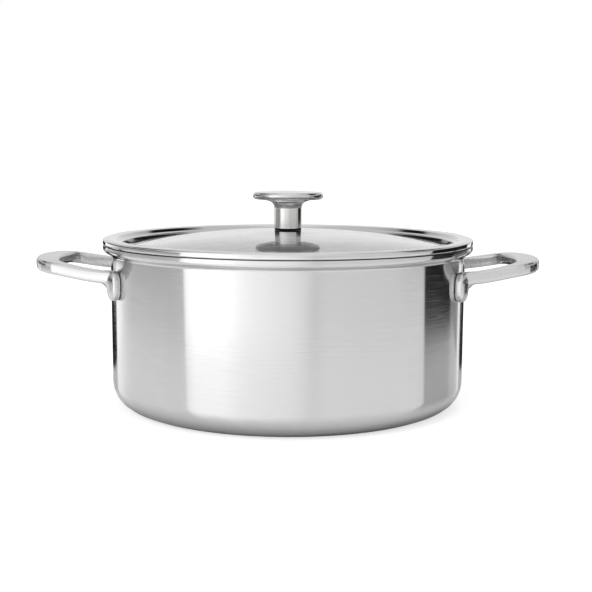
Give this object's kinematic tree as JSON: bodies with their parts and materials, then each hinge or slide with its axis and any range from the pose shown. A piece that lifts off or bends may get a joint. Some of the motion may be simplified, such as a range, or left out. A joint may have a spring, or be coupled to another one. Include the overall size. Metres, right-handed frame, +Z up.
{
  "type": "lidded casserole pot",
  "caption": "Round straight-sided stainless steel cooking pot with a pouring lip, two open loop handles and a domed glass lid with a steel rim and knob.",
  "frame": {"origin": "centre of the underside of the base, on the surface the pot stands on", "axes": "+Z up, X through the two handles, -Y towards the viewer; right-handed, metres"},
  "size_m": [0.3482, 0.2552, 0.147],
  "materials": {
    "pot_steel": "fine circumferential brushing, satin",
    "core_aluminium": "mill",
    "liner_steel": "satin",
    "handle_steel": "tumbled, half-bright",
    "rivet_steel": "satin",
    "rim_steel": "bright, spun",
    "lid_glass": "clear tempered",
    "seal_silicone": "matte",
    "knob_steel": "satin, turned",
    "gasket_silicone": "matte",
    "fastener_steel": "bright"
  },
  "bodies": {
    "pot": {"outer_shell": "pot_steel", "aluminium_core": "core_aluminium", "inner_liner": "liner_steel", "left_handle": "handle_steel", "right_handle": "handle_steel", "left_handle_rivets": "rivet_steel", "right_handle_rivets": "rivet_steel"},
    "lid": {"lid_rim": "rim_steel", "lid_glass": "lid_glass", "glass_edge_seal": "seal_silicone", "knob": "knob_steel", "knob_gasket": "gasket_silicone", "under_gasket": "gasket_silicone", "knob_washer": "fastener_steel", "knob_screw": "fastener_steel"}
  },
  "joints": [
    {"name": "lid_lift", "type": "slide", "parent": "pot", "child": "lid", "axis": [0, 0, 1], "range_m": [0, 0.15]}
  ]
}
